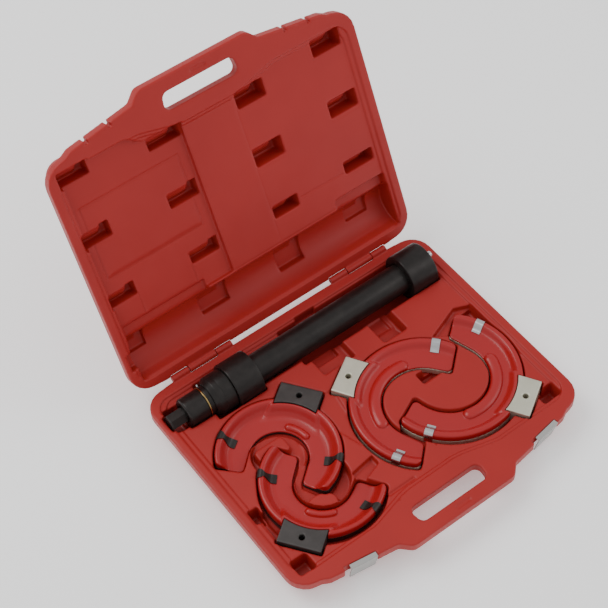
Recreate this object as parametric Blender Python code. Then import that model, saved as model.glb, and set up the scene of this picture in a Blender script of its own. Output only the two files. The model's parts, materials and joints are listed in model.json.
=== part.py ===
"""Coil spring compressor kit: a screw-driven compressor tool and four yokes in their hinged case.

Metres, +Z up, +Y towards the hinge. The origin is the middle of the case's flat underside.
The case lies flat and open, with the tool and the yokes in the base tray.
"""

import math

import bmesh
import bpy
from mathutils import Matrix, Vector

MM = 0.001
GAP = 0.3  # clearance between pieces that touch, in mm like every length below

# Case
CASE_W = 500.0
RIM_Z = 46.0  # height of the parting plane, and of the hinge axis
RIM_GAP = 0.25  # each half's rim stands this far off the parting plane
HINGE_Y = 210.0
LID_ANGLE = 66.06  # slope of the open lid's rim plane above the horizontal, in degrees
FLANGE_H = 16.0
WALL = 2.6
PANEL_DROP = 5.0  # depth of the inner panel below the rim
HALF_DEPTH = RIM_Z  # each half is this deep, from its outside to the parting plane
BLOW_HOLE_R = 3.0
BLOW_HOLE_X = -149.0
BLOW_HOLE_Y = 202.0  # distance from the hinge line

# Hinges
BARREL_R = 5.4
PIN_R = 2.0
BORE_R = 2.3
NOTCH_R = 6.0
BASE_KNUCKLES = ((-193.5, -164.5), (-117.0, -89.5), (91.0, 121.0), (168.0, 194.5))
LID_KNUCKLES = ((-163.9, -117.6), (121.6, 167.4))
HINGE_PINS = {"left": (-192.0, -91.0), "right": (92.5, 193.0)}

# Latches: clips that slide up the front edge, so that the lip catches over the lid's flange
LATCH_W = 40.0
LATCH_X = {"left": -155.0, "right": 170.0}
LATCH_TUCK = 11.0  # how far each latch leans in under the case, in degrees
LATCH_FACE = 1.9  # how far it stands out from the flange's edge at the top
LATCH_LIP = 5.6  # how far its lip reaches in from the edge
LATCH_LIP_H = 2.2
LATCH_PLATE = 1.8
LATCH_LENGTH = 35.5
SLIT_X = (-160.0, 164.0)  # pairs of slits in the lid's edge, 38 mm apart

# Tool, with its axis along X in the parting plane
TOOL_Y = -59.0
TUBE_R = 22.7
TUBE_BORE_R = 17.6
TUBE_X = (-178.6, 215.0)
SLOT_W = 10.0
SLOT_X = (-40.0, 211.0)
COLLAR_R = 34.8
HEAD_COLLAR_X = (-138.7, -95.0)
SLEEVE_R = 30.5
SLEEVE_X = (-172.0, -139.0)
CAP_R = 22.3
CAP_X = (-213.0, -181.2)
BRASS_X = (-180.9, -178.9)
CARRIAGE_X = (176.0, 222.5)
SEAT_W = 24.8
SEAT_DEPTH = 9.0
HEX_AF = 22.0
HEX_X = (-239.0, -214.5)
SPINDLE_R = 10.0
NUT_X = (182.0, 206.0)
SET_SCREW_TILT = math.radians(31.6)

# Yokes: levels are measured from the parting plane
YOKE_BOTTOM = -24.5
PLATE_TOP = -13.3
LINER_BOTTOM = -13.0
LINER_FLOOR = -10.0
RIM_CREST = -1.0
BEAD_CREST = -5.5
BLOCK_TOP = -0.5
BLOCK = (62.0, 30.0)
BLOCK_HOLE_R = 3.6
NOTCH_IN = 8.0  # the block's inner face is this far inside the yoke's outer radius
POCKET_FLOOR = -24.8
POCKET_GAP = 2.5

LARGE = {"R": 107.0, "r": 60.0, "rim": 12.0, "bead": (68.0, 6.0, 46.0)}
SMALL = {"R": 89.0, "r": 42.0, "rim": 11.0, "bead": (48.5, 5.0, 33.0)}
# name: size, centre from the hinge line, bearing of the block, and for each end (towards +, towards -)
# the bearings of its outer and inner corners from the block and the inner corner's distance
YOKES = {
    "small_yoke_rear": (
        SMALL, (-144.0, -189.0), 36.0, (119.0, 134.0, 54.0), (-115.0, -126.0, 54.0), (88.0, -80.0),
    ),
    "small_yoke_front": (
        SMALL, (-120.5, -259.0), 216.0, (99.0, 110.0, 47.0), (-110.0, -124.0, 54.0), (74.0, -78.0),
    ),
    "large_yoke_left": (
        LARGE, (69.0, -246.5), 122.0, (106.0, 109.0, 68.0), (-97.0, -108.0, 66.0), (87.0, -81.0),
    ),
    "large_yoke_right": (
        LARGE, (123.5, -233.5), 302.0, (103.0, 107.0, 70.0), (-111.0, -122.0, 62.0), (81.0, -87.0),
    ),
}

COLOURS = {
    "case_red": ((0.36, 0.045, 0.030), 0.42, 0.0),
    "liner_red": ((0.42, 0.030, 0.028), 0.36, 0.0),
    "black_steel": ((0.030, 0.028, 0.027), 0.38, 0.7),
    "zinc_steel": ((0.44, 0.44, 0.38), 0.40, 0.9),
    "bright_steel": ((0.56, 0.57, 0.58), 0.28, 1.0),
    "latch_grey": ((0.50, 0.50, 0.48), 0.45, 0.0),
    "brass": ((0.62, 0.44, 0.18), 0.30, 1.0),
}


# ---------------------------------------------------------------- helpers


def clear_scene():
    for obj in list(bpy.data.objects):
        bpy.data.objects.remove(obj, do_unlink=True)


def make_materials():
    made = {}
    for name, (colour, roughness, metallic) in COLOURS.items():
        made[name] = bpy.data.materials.new(name)
        made[name].use_nodes = True
        shader = made[name].node_tree.nodes["Principled BSDF"]
        shader.inputs["Base Color"].default_value = (*colour, 1.0)
        shader.inputs["Roughness"].default_value = roughness
        shader.inputs["Metallic"].default_value = metallic
    return made


def empty(name, location, rotation=(0.0, 0.0, 0.0), parent=None):
    obj = bpy.data.objects.new(name, None)
    obj.empty_display_size = 0.02
    obj.location = Vector(location) * MM
    obj.rotation_euler = rotation
    obj.parent = parent
    bpy.context.scene.collection.objects.link(obj)
    return obj


def add(name, vertices, faces, material=None, parent=None, smooth=True):
    """A mesh object from points in millimetres. Without a material it is a cutter."""
    mesh = bpy.data.meshes.new(name)
    mesh.from_pydata([tuple(c * MM for c in v) for v in vertices], [], faces)
    shape = bmesh.new()
    shape.from_mesh(mesh)
    bmesh.ops.recalc_face_normals(shape, faces=shape.faces)
    shape.to_mesh(mesh)
    shape.free()
    obj = bpy.data.objects.new(name, mesh)
    obj.parent = parent
    bpy.context.scene.collection.objects.link(obj)
    if material is None:
        obj.hide_render = True
        obj.display_type = "WIRE"
    else:
        mesh.materials.append(material)
        if smooth:
            mesh.shade_smooth()
            mesh.set_sharp_from_angle(angle=math.radians(35))
    return obj


def stack(name, rings, material=None, parent=None, smooth=True):
    """A closed body through rings of points, one above the other, each ring in the same order."""
    count = len(rings[0])
    vertices = [point for ring in rings for point in ring]
    faces = []
    for level in range(len(rings) - 1):
        here, above = level * count, (level + 1) * count
        for i in range(count):
            j = (i + 1) % count
            faces.append((here + i, here + j, above + j, above + i))
    faces.append(tuple(range(count)))
    faces.append(tuple(range((len(rings) - 1) * count, len(rings) * count)))
    return add(name, vertices, faces, material, parent, smooth)


def prism(name, outline, low, high, material=None, parent=None, smooth=False):
    return stack(name, [[(x, y, z) for x, y in outline] for z in (low, high)], material, parent, smooth)


def box(name, low, high, material=None, parent=None):
    (x0, y0, z0), (x1, y1, z1) = low, high
    return prism(name, [(x0, y0), (x1, y0), (x1, y1), (x0, y1)], z0, z1, material, parent)


def turned(name, profile, material=None, parent=None, steps=32, centre=(0.0, 0.0)):
    """A body turned about the X axis through centre (y, z). The profile is a closed loop of (x, radius)."""
    rings = []
    for x, radius in profile:
        rings.append([
            (
                x,
                centre[0] + radius * math.cos(2 * math.pi * k / steps),
                centre[1] + radius * math.sin(2 * math.pi * k / steps),
            )
            for k in range(steps)
        ])
    solid = profile[0][1] != profile[-1][1] or profile[0][0] != profile[-1][0]
    if solid:
        return stack(name, rings, material, parent)
    vertices = [point for ring in rings[:-1] for point in ring]
    levels = len(rings) - 1
    faces = [
        (
            level * steps + k,
            level * steps + (k + 1) % steps,
            (level + 1) % levels * steps + (k + 1) % steps,
            (level + 1) % levels * steps + k,
        )
        for level in range(levels)
        for k in range(steps)
    ]
    return add(name, vertices, faces, material, parent)


def ring_profile(x0, x1, inner, outer, chamfer=0.0):
    """The closed profile of a plain ring, with its outer edges chamfered."""
    loop = [(x0, inner), (x0, outer - chamfer)]
    if chamfer:
        loop += [(x0 + chamfer, outer), (x1 - chamfer, outer)]
    loop += [(x1, outer - chamfer), (x1, inner), (x0, inner)]
    return loop


def boolean(obj, other, operation="DIFFERENCE"):
    modifier = obj.modifiers.new(other.name, "BOOLEAN")
    modifier.operation = operation
    modifier.object = other
    modifier.solver = "EXACT"


def rounded(corners, turn=18.0):
    """The outline through corners (x, y, radius), with an arc of that radius at each corner."""
    outline = []
    for i, (x, y, radius) in enumerate(corners):
        here = Vector((x, y))
        before = (Vector(corners[i - 1][:2]) - here).normalized()
        after = (Vector(corners[(i + 1) % len(corners)][:2]) - here).normalized()
        half = before.angle(after) / 2
        if radius <= 0 or half > math.radians(88.0):
            outline.append((x, y))
            continue
        middle = here + (before + after).normalized() * radius / math.sin(half)
        start = here + before * radius / math.tan(half) - middle
        end = here + after * radius / math.tan(half) - middle
        sweep = start.angle_signed(end)
        steps = max(1, round(math.degrees(abs(sweep)) / turn))
        for k in range(steps + 1):
            point = middle + Matrix.Rotation(-sweep * k / steps, 2) @ start
            outline.append((point.x, point.y))
    return outline


def mirrored(half):
    """Corners of an outline that is symmetric about x = 0, counter-clockwise, from its half with x > 0."""
    return half + [(-x, y, radius) for x, y, radius in reversed(half)]


# ---------------------------------------------------------------- case

# Half outlines, from the front edge to the hinge edge, as (x, distance from the hinge line, corner radius)
FLANGE_HALF = [
    (88.0, -418.0, 14.0),
    (103.0, -402.5, 8.0),
    (204.0, -387.5, 4.0),
    (215.0, -381.5, 4.0),
    (250.0, -375.0, 33.0),
    (250.0, -8.0, 32.0),
    (197.0, -3.2, 2.0),
]
PANEL_HALF = [
    (46.0, -346.0, 60.0),
    (108.0, -362.5, 30.0),
    (237.0, -362.5, 26.0),
    (237.0, -20.0, 20.0),
]
HANDLE_HALF = [(57.0, -397.0, 6.0), (61.0, -370.0, 6.0)]


def body_corners(inset):
    """The body below the flange, drawn in from its widest outline."""
    return mirrored([
        (70.0, -359.0 + inset, 40.0),
        (112.0, -371.0 + inset, 30.0),
        (240.0 - inset, -371.0 + inset, 26.0),
        (240.0 - inset, -13.0 - inset, 26.0),
    ])


def flat(outline, z):
    return [(x, y, z) for x, y in outline]


class Half:
    """One half of the case, in a frame with its origin on the hinge axis and +Z towards the inside."""

    def __init__(self, name, side, material, parent):
        self.name = name
        self.side = side
        self.parent = parent
        flange = self.turn(rounded(mirrored(FLANGE_HALF)))
        self.obj = prism(name, flange, -FLANGE_H, -RIM_GAP, material, parent)
        body = [
            flat(self.turn(rounded(body_corners(inset))), z)
            for inset, z in (
                (9.0, -HALF_DEPTH),
                (2.5, -HALF_DEPTH + 3.5),
                (0.0, -HALF_DEPTH + 11.0),
                (0.0, -FLANGE_H + 3.0),
            )
        ]
        boolean(self.obj, stack(name + "_body", body, None, parent), "UNION")
        self.void = stack(
            name + "_void",
            [
                flat(self.turn(rounded(body_corners(inset))), z)
                for inset, z in (
                    (9.0 + WALL, -HALF_DEPTH + WALL),
                    (2.5 + WALL, -HALF_DEPTH + 3.5 + WALL),
                    (WALL, -HALF_DEPTH + 12.5),
                    (WALL, -PANEL_DROP - WALL),
                )
            ],
            None,
            parent,
        )

    def turn(self, outline):
        """An outline drawn for the base, turned over for the lid."""
        return outline if self.side < 0 else [(x, -y) for x, y in reversed(outline)]

    def recess(self, make):
        """Cuts a hollow, and keeps the space inside the walls one wall away from it."""
        boolean(self.obj, make(0.0))
        boolean(self.void, make(WALL))

    def close(self):
        """Cuts the space inside the walls last, with the hole that the air was blown through."""
        boolean(self.obj, self.void)
        x, y = BLOW_HOLE_X, BLOW_HOLE_Y * self.side
        hole = [(x + BLOW_HOLE_R * math.cos(a), y + BLOW_HOLE_R * math.sin(a)) for a in circle(12)]
        low, high = -HALF_DEPTH - 1.0, -HALF_DEPTH + WALL + 1.0
        boolean(self.obj, prism(self.name + "_blow_hole", hole, low, high, None, self.parent))


def pocket(half, label, low, high, depth):
    """A rectangular hollow from the rim down, with its corners rounded."""

    def make(grow):
        (x0, y0), (x1, y1) = low, high
        outline = rounded([
            (x0 - grow, y0 - grow, 4.0),
            (x1 + grow, y0 - grow, 4.0),
            (x1 + grow, y1 + grow, 4.0),
            (x0 - grow, y1 + grow, 4.0),
        ], 45.0)
        return prism(f"{half.name}_{label}_{grow:.0f}", outline, -depth - grow, 1.0 + grow, None, half.parent)

    half.recess(make)


def channel(half, label, x0, x1, y, radius):
    """A round-bottomed hollow along X, open above."""

    def make(grow):
        steps = 16
        around = [math.pi * (1 + k / steps) for k in range(steps + 1)]
        section = [(y + (radius + grow) * math.cos(a), (radius + grow) * math.sin(a)) for a in around]
        section += [(y + radius + grow, 1.5 + grow), (y - radius - grow, 1.5 + grow)]
        rings = [[(x, v, z) for v, z in section] for x in (x0 - grow, x1 + grow)]
        return stack(f"{half.name}_{label}_{grow:.0f}", rings, None, half.parent, False)

    half.recess(make)


def barrels(half, own, others):
    """The half's hinge knuckles, the clearance for the other half's, and the bore for the pins."""
    name, parent = half.name, half.parent
    for i, (x0, x1) in enumerate(own):
        knuckle = turned(f"{name}_knuckle_{i}", [(x0, BARREL_R), (x1, BARREL_R)], None, parent, 24)
        boolean(half.obj, knuckle, "UNION")
    for i, (x0, x1) in enumerate(others):
        profile = [(x0 - 0.4, NOTCH_R), (x1 + 0.4, NOTCH_R)]
        boolean(half.obj, turned(f"{name}_notch_{i}", profile, None, parent, 24))
    for side, (x0, x1) in HINGE_PINS.items():
        profile = [(x0 - 0.5, BORE_R), (x1 + 0.5, BORE_R)]
        boolean(half.obj, turned(f"{name}_bore_{side}", profile, None, parent, 16))


def edge_frame(name, x, side, parent):
    """An empty on the slanting front edge at x, with +X along the edge and +Y outward."""
    (x0, y0), (x1, y1) = FLANGE_HALF[1][:2], FLANGE_HALF[2][:2]
    slope = math.atan2(y1 - y0, x1 - x0) * (1 if x > 0 else -1)
    depth = y0 + (abs(x) - x0) * (y1 - y0) / (x1 - x0)
    turn = math.pi + slope if side < 0 else -slope
    return empty(name, (x, -side * depth, 0.0), (0.0, 0.0, turn), parent)


def case_base(materials, origin):
    half = Half("case_base", -1, materials["case_red"], origin)
    panel = half.turn(rounded(mirrored(PANEL_HALF)))
    boolean(half.obj, prism("base_panel", panel, -PANEL_DROP, 1.0, None, origin))
    channel(half, "cap_bed", -216.0, -170.0, TOOL_Y, TUBE_R + 0.6)
    channel(half, "collar_bed", -175.5, -93.0, TOOL_Y, COLLAR_R + GAP)
    channel(half, "tube_bed", -94.0, -25.0, TOOL_Y, TUBE_R + 1.5)
    channel(half, "travel_bed", -26.0, 226.0, TOOL_Y, COLLAR_R + GAP)
    pocket(half, "hex_bed", (-235.5, TOOL_Y - 19.0), (-214.0, TOOL_Y + 24.0), 30.0)
    pocket(half, "hex_end", (-241.5, TOOL_Y - 14.5), (-230.0, TOOL_Y + 14.5), 14.8)
    for name, (size, centre, bearing, plus, minus, clips) in YOKES.items():
        for grow, target in ((POCKET_GAP, half.obj), (POCKET_GAP + WALL, half.void)):
            floor = POCKET_FLOOR - (grow - POCKET_GAP)
            label = f"{name}_recess_{grow:.0f}"
            turn = (0.0, 0.0, math.radians(bearing))
            frame = empty(f"{name}_pocket_{grow:.0f}", (*centre, 0.0), turn, origin)
            boolean(target, strip(label, size, plus, minus, floor, 2.0 + grow, None, frame, grow))
            reach = size["R"] - NOTCH_IN + BLOCK[1] + grow
            seat = box(
                f"{name}_seat_{grow:.0f}",
                (size["R"] - 30.0, -BLOCK[0] / 2 - grow, floor),
                (reach, BLOCK[0] / 2 + grow, 2.0 + grow),
                None,
                frame,
            )
            boolean(target, seat)
    for label, low, high, depth in (
        ("rear_well", (-15.0, -122.0), (41.0, -90.0), 26.0),
        ("middle_well", (88.0, -134.0), (129.0, -90.0), 30.0),
        ("centre_well", (88.0, -224.0), (120.0, -206.0), 32.0),
        ("left_well", (-233.0, -262.0), (-218.0, -238.0), 30.0),
        ("corner_well_left", (-232.0, -358.0), (-206.0, -338.0), 30.0),
        ("corner_well_right", (203.0, -357.0), (230.0, -334.0), 30.0),
        ("right_well", (226.0, -232.0), (234.0, -158.0), 26.0),
    ):
        pocket(half, label, low, high, depth)
    half.close()
    handle = half.turn(rounded(mirrored(HANDLE_HALF), 45.0))
    boolean(half.obj, prism("base_handle_hole", handle, -FLANGE_H - 1.0, 1.0, None, origin))
    barrels(half, BASE_KNUCKLES, LID_KNUCKLES)
    for label, x in LATCH_X.items():
        frame = edge_frame(f"latch_slot_{label}", x, half.side, origin)
        slot = LATCH_W / 2 + 0.6
        low, high = (-slot, -LATCH_LIP - 0.8, -22.0), (slot + 8.0, 9.0, 6.0)
        boolean(half.obj, box(f"latch_room_{label}", low, high, None, frame))
    return half.obj


LID_WELLS_X = (-207.5, -71.0, 67.0, 201.5)
LID_WELL = (50.0, 25.0)
# distance from the hinge of the wells in each of the four columns, row by row
LID_WELLS_Y = (
    (350.0, 331.0, 328.0, 341.0),
    (252.0, 241.0, 234.0, 242.0),
    (151.0, 146.0, 144.0, 147.0),
)


def case_lid(materials, hinge):
    half = Half("case_lid", 1, materials["case_red"], hinge)
    panel = half.turn(rounded(mirrored(PANEL_HALF)))
    boolean(half.obj, prism("lid_panel", panel, -PANEL_DROP, 1.0, None, hinge))
    channel(half, "groove", -232.0, 232.0, -TOOL_Y, COLLAR_R + 1.2)
    pocket(half, "hex_bay", (-241.5, -TOOL_Y - 14.5), (-228.0, -TOOL_Y + 14.5), 14.8)
    pocket(half, "left_bay", (-232.0, 24.0), (-86.0, 112.0), 14.0)
    pocket(half, "right_bay", (139.0, 24.0), (232.0, 114.0), 14.0)
    for row, distances in enumerate(LID_WELLS_Y):
        for column, (x, y) in enumerate(zip(LID_WELLS_X, distances)):
            low = (x - LID_WELL[0] / 2, y - LID_WELL[1] / 2)
            high = (x + LID_WELL[0] / 2, y + LID_WELL[1] / 2)
            pocket(half, f"well_{row}_{column}", low, high, 32.0)
    half.close()
    handle = half.turn(rounded(mirrored(HANDLE_HALF), 45.0))
    boolean(half.obj, prism("lid_handle_hole", handle, -FLANGE_H - 1.0, 1.0, None, hinge))
    barrels(half, LID_KNUCKLES, BASE_KNUCKLES)
    for i, x in enumerate(SLIT_X):
        for side in (-1, 1):
            frame = edge_frame(f"latch_slit_place_{i}_{side}", x + side * 19.0, half.side, hinge)
            low, high = (-2.3, -6.0, -FLANGE_H - 1.0), (2.3, 9.0, 1.0)
            boolean(half.obj, box(f"latch_slit_{i}_{side}", low, high, None, frame))
    return half.obj


def hinge_pins(materials, origin):
    for side, (x0, x1) in HINGE_PINS.items():
        turned(f"hinge_pin_{side}", [(x0, PIN_R), (x1, PIN_R)], materials["bright_steel"], origin, 16)


def latches(materials, origin):
    """Each latch is a bent plate: a lip in the flange's notch, and a face that leans in below it."""
    lean = math.tan(math.radians(LATCH_TUCK))
    top, under, foot = -0.4, -0.4 - LATCH_LIP_H, -LATCH_LENGTH
    back = LATCH_FACE - LATCH_PLATE
    section = [
        (-LATCH_LIP, top),
        (LATCH_FACE - 1.0, top),
        (LATCH_FACE, top - 1.0),
        (LATCH_FACE + lean * foot, foot),
        (back + lean * foot, foot),
        (back + lean * under, under),
        (-LATCH_LIP, under),
    ]
    for label, x in LATCH_X.items():
        frame = edge_frame(f"latch_place_{label}", x, -1, origin)
        rings = [[(end, y, z) for y, z in section] for end in (-LATCH_W / 2, LATCH_W / 2)]
        stack(f"latch_{label}", rings, materials["latch_grey"], frame, False)


# ---------------------------------------------------------------- tool


def hexagon(across_flats):
    radius = across_flats / math.sqrt(3)
    return [(radius * math.cos(a), radius * math.sin(a)) for a in circle(6)]


def fixed_tool(materials, frame):
    black = materials["black_steel"]
    tube = turned("main_tube", ring_profile(*TUBE_X, TUBE_BORE_R, TUBE_R), black, frame)
    low, high = (SLOT_X[0], -SLOT_W / 2, -30.0), (SLOT_X[1], SLOT_W / 2, -10.0)
    boolean(tube, box("tube_slot", low, high, None, frame))
    x0, x1 = CAP_X
    cap = [
        (x0, 13.0),
        (x0, CAP_R - 2.0),
        (x0 + 2.0, CAP_R),
        (x1, CAP_R),
        (x1, 18.0),
        (x0 + 8.0, 18.0),
        (x0 + 8.0, 13.0),
        (x0, 13.0),
    ]
    turned("bearing_cap", cap, black, frame)
    turned("brass_ring", ring_profile(*BRASS_X, 18.0, CAP_R + 0.9), materials["brass"], frame)
    x0, x1 = SLEEVE_X
    sleeve = [
        (x0, TUBE_R + GAP),
        (x0, TUBE_R + 2.5),
        (x0 + 7.0, SLEEVE_R),
        (x1 - 7.5, SLEEVE_R),
        (x1 - 7.0, SLEEVE_R - 0.6),
        (x1 - 6.5, SLEEVE_R),
        (x1, SLEEVE_R),
        (x1, TUBE_R + GAP),
        (x0, TUBE_R + GAP),
    ]
    turned("head_sleeve", sleeve, black, frame)
    collar("head_collar", *HEAD_COLLAR_X, black, frame)
    bright = materials["bright_steel"]
    turned("thrust_washer_front", ring_profile(-201.0, -199.0, 10.8, 16.6), bright, frame, 24)
    turned("thrust_bearing_cage", ring_profile(-198.7, -195.7, 10.8, 16.6), materials["brass"], frame, 24)
    plug = ring_profile(208.0, 214.5, SPINDLE_R + 0.4, TUBE_BORE_R - GAP)
    turned("end_plug", plug, black, frame, 24)
    stub = empty("set_screw_axis", (-175.3, 0.0, 0.0), (SET_SCREW_TILT, 0.0, 0.0), frame)
    outline = [(1.8 * math.cos(a), 1.8 * math.sin(a)) for a in circle(12)]
    screw = prism("head_set_screw", outline, 23.1, 26.0, bright, stub, True)
    screw.rotation_euler = (math.radians(-90.0), 0.0, 0.0)


def circle(steps):
    return [2 * math.pi * k / steps for k in range(steps)]


def collar(name, x0, x1, material, frame):
    """A collar on the tube, with the seat for a yoke's block across its underside."""
    obj = turned(name, ring_profile(x0, x1, TUBE_R + GAP, COLLAR_R, 2.0), material, frame)
    middle = (x0 + x1) / 2
    low = (middle - SEAT_W / 2, -50.0, -50.0)
    high = (middle + SEAT_W / 2, 50.0, SEAT_DEPTH - COLLAR_R)
    boolean(obj, box(name + "_seat", low, high, None, frame))
    return obj


def spindle(materials, frame):
    black = materials["black_steel"]
    core = SPINDLE_R - 0.1
    profile = [(-216.0, 11.5), (-202.0, 11.5), (-202.0, core), (213.0, core)]
    rod = turned("drive_spindle", profile, black, frame, 20)
    turned("thrust_flange", [(-204.4, 16.6), (-201.3, 16.6)], None, frame, 20)
    boolean(rod, bpy.data.objects["thrust_flange"], "UNION")
    drive = stack(
        "spindle_hex",
        [
            [(x, y * k, z * k) for y, z in hexagon(HEX_AF)]
            for x, k in ((HEX_X[0], 0.92), (HEX_X[0] + 1.5, 1.0), (HEX_X[1], 1.0))
        ],
        None,
        frame,
    )
    boolean(rod, drive, "UNION")
    washer = ring_profile(-195.4, -193.4, 10.2, 16.6)
    turned("thrust_washer_rear", washer, materials["bright_steel"], frame, 24)


def carriage(materials, frame):
    black = materials["black_steel"]
    obj = collar("carriage_collar", *CARRIAGE_X, black, frame)
    boolean(obj, box("key_way", (180.0, -4.6, -30.0), (208.0, 4.6, -20.0), None, frame))
    tapped = empty("lock_screw_axis", (CARRIAGE_X[1], -8.5, 27.6), (0.0, 0.0, 0.0), frame)
    hole = turned("lock_screw_bore", [(-12.0, 3.3), (1.0, 3.3)], None, tapped, 12)
    boolean(obj, hole)
    screw = [(-11.5, 3.0), (0.5, 3.0), (0.5, 4.6), (3.6, 4.6), (4.4, 3.8)]
    turned("carriage_lock_screw", screw, materials["bright_steel"], tapped, 16)
    nut = ring_profile(*NUT_X, SPINDLE_R + 0.2, TUBE_BORE_R - 0.4)
    turned("spindle_nut", nut, materials["brass"], frame, 24)
    box("guide_key", (181.0, -4.2, -24.6), (207.0, 4.2, -TUBE_BORE_R), black, frame)


# ---------------------------------------------------------------- yokes


def polar(radius, degrees):
    return Vector((radius * math.cos(math.radians(degrees)), radius * math.sin(math.radians(degrees))))


def inner_edge(radius, plus, minus, grow):
    """Points along the inner edge, from the minus end: straight, then round, then straight."""
    radius = radius - grow
    points = []
    for sign, (_, bearing, distance) in ((-1, minus), (1, plus)):
        corner = polar(max(distance - grow, radius), bearing)
        if grow:
            corner += polar(grow, bearing + sign * 90.0)
        lean = math.degrees(math.acos(min(1.0, radius / corner.length)))
        touch = math.degrees(math.atan2(corner.y, corner.x)) % 360 * sign
        touch = (touch % 360) * sign - sign * lean
        points.append((corner, touch))
    (first, start), (last, end) = points
    steps = 14
    arc = [polar(radius, start + (end - start) * k / steps) for k in range(steps + 1)]
    return [first] + arc + [last]


def along(points, share):
    """The point at this share of a path's length."""
    lengths = [(b - a).length for a, b in zip(points, points[1:])]
    left = share * sum(lengths)
    for a, b, length in zip(points, points[1:], lengths):
        if left <= length:
            return a.lerp(b, left / length if length else 0.0)
        left -= length
    return points[-1]


def stations(size, plus, minus, notched):
    """Shares along the yoke at which it is cut into sections, with the steps at the block."""
    low, high = minus[0], plus[0]
    shares = [k / 22 for k in range(23)]
    if notched:
        reach = math.degrees(math.asin((BLOCK[0] / 2 + GAP) / (size["R"] - NOTCH_IN)))
        for edge in (-reach, reach):
            for side in (-0.25, 0.25):
                shares.append((edge + side - low) / (high - low))
    return sorted(shares)


def plan(size, plus, minus, grow=0.0, notched=False):
    """[(outer point, inner point, is it beside the block)] at each station of a yoke."""
    inner = inner_edge(size["r"], plus, minus, grow)
    reach = math.degrees(math.asin((BLOCK[0] / 2 + GAP) / (size["R"] - NOTCH_IN)))
    rows = []
    for share in stations(size, plus, minus, notched):
        extra = math.degrees(grow / size["R"])
        bearing = minus[0] - extra + (plus[0] - minus[0] + 2 * extra) * share
        beside = notched and abs(bearing) < reach
        radius = size["R"] + grow - (NOTCH_IN if beside else 0.0)
        rows.append((polar(radius, bearing), along(inner, share), beside))
    return rows


def strip(name, size, plus, minus, low, high, material, parent, grow=0.0, notched=False):
    """A flat C-shaped plate from low to high."""
    rings = []
    for outer, inner, _ in plan(size, plus, minus, grow, notched):
        rings.append([(*outer, low), (*outer, high), (*inner, high), (*inner, low)])
    return stack(name, rings, material, parent)


RIM_SHAPE = ((0.0, -5.0), (2.0, -2.0), (5.0, RIM_CREST), (8.6, -2.6), (11.0, LINER_FLOOR))


def liner(name, size, plus, minus, material, parent):
    """The plastic liner: a floor, a raised rim round the outside and a bead beside the inner edge."""
    crest, half_width, reach = size["bead"]
    rings = []
    for outer, inner, beside in plan(size, plus, minus, 0.0, True):
        bearing = math.degrees(math.atan2(outer.y, outer.x))
        edge = outer.length
        shape = [(d * 0.4, LINER_FLOOR) for d, _ in RIM_SHAPE] if beside else RIM_SHAPE
        foot = polar(edge - shape[-1][0], bearing)
        width = (inner - foot).length
        across = (inner - foot) / width
        bead = min(foot.length - crest, width - half_width - 0.6)
        lift = BEAD_CREST if abs(bearing) < reach else LINER_FLOOR
        section = [(*outer, LINER_BOTTOM)]
        section += [(*polar(edge - d, bearing), z) for d, z in shape]
        floor = (
            (bead - half_width, LINER_FLOOR),
            (bead, lift),
            (bead + half_width * 0.8, lift),
            (width, LINER_FLOOR),
        )
        section += [(*(foot + across * d), z) for d, z in floor]
        rings.append(section + [(*inner, LINER_BOTTOM)])
    return stack(name, rings, material, parent)


def clip(name, size, bearing, tail, material, parent):
    """A strap bent over the rim, from the outside of the plate to the floor of the liner."""
    inner = [(-GAP, -12.0), (-GAP, -4.7), (1.8, -1.5), (5.0, -0.55), (9.6, -2.2), (11.9, -9.6), (tail, -9.6)]
    outer = [(-1.5, -12.0), (-1.5, -4.3), (1.0, -0.5), (5.0, 0.7), (10.6, -1.2), (12.9, -8.4), (tail, -8.4)]
    section = inner + outer[::-1]
    rings = []
    for side in (-1, 0, 1):
        turn = bearing + side * math.degrees(7.5 / size["R"])
        rings.append([(*polar(size["R"] - d, turn), z) for d, z in section])
    return stack(name, rings, material, parent)


def yoke(name, materials, origin):
    size, centre, bearing, plus, minus, clips = YOKES[name]
    steel = materials["zinc_steel" if size is LARGE else "black_steel"]
    frame = empty(name, (*centre, 0.0), (0.0, 0.0, math.radians(bearing)), origin)
    strip(name + "_plate", size, plus, minus, YOKE_BOTTOM, PLATE_TOP, steel, frame, 0.0, True)
    liner(name + "_liner", size, plus, minus, materials["liner_red"], frame)
    inside = size["R"] - NOTCH_IN
    reach = inside + BLOCK[1]
    half = BLOCK[0] / 2
    turn = math.degrees(math.asin(half / (inside + GAP)))
    outline = [tuple(polar(inside + GAP, -turn + 2 * turn * k / 8)) for k in range(9)]
    outline += [(reach, half), (reach, -half)]
    block = prism(name + "_block", outline, YOKE_BOTTOM, BLOCK_TOP, steel, frame)
    middle = (inside + reach) / 2
    hole = [(middle + BLOCK_HOLE_R * math.cos(a), BLOCK_HOLE_R * math.sin(a)) for a in circle(16)]
    boolean(block, prism(name + "_block_hole", hole, YOKE_BOTTOM - 1.0, BLOCK_TOP + 1.0, None, frame))
    tail = 20.0 if size is LARGE else 34.0
    strap = materials["bright_steel" if size is LARGE else "black_steel"]
    for label, where in zip("ab", clips):
        clip(f"{name}_clip_{label}", size, where, tail, strap, frame)


# ---------------------------------------------------------------- assembly


def main():
    clear_scene()
    materials = make_materials()
    origin = empty("hinge_line", (0.0, HINGE_Y, RIM_Z))
    lid = empty("lid_hinge", (0.0, 0.0, 0.0), (math.radians(LID_ANGLE), 0.0, 0.0), origin)
    case_base(materials, origin)
    case_lid(materials, lid)
    hinge_pins(materials, origin)
    latches(materials, origin)
    tool = empty("tool_axis", (0.0, TOOL_Y, 0.0), parent=origin)
    fixed_tool(materials, tool)
    spindle(materials, tool)
    carriage(materials, tool)
    for name in YOKES:
        yoke(name, materials, origin)


main()
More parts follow.
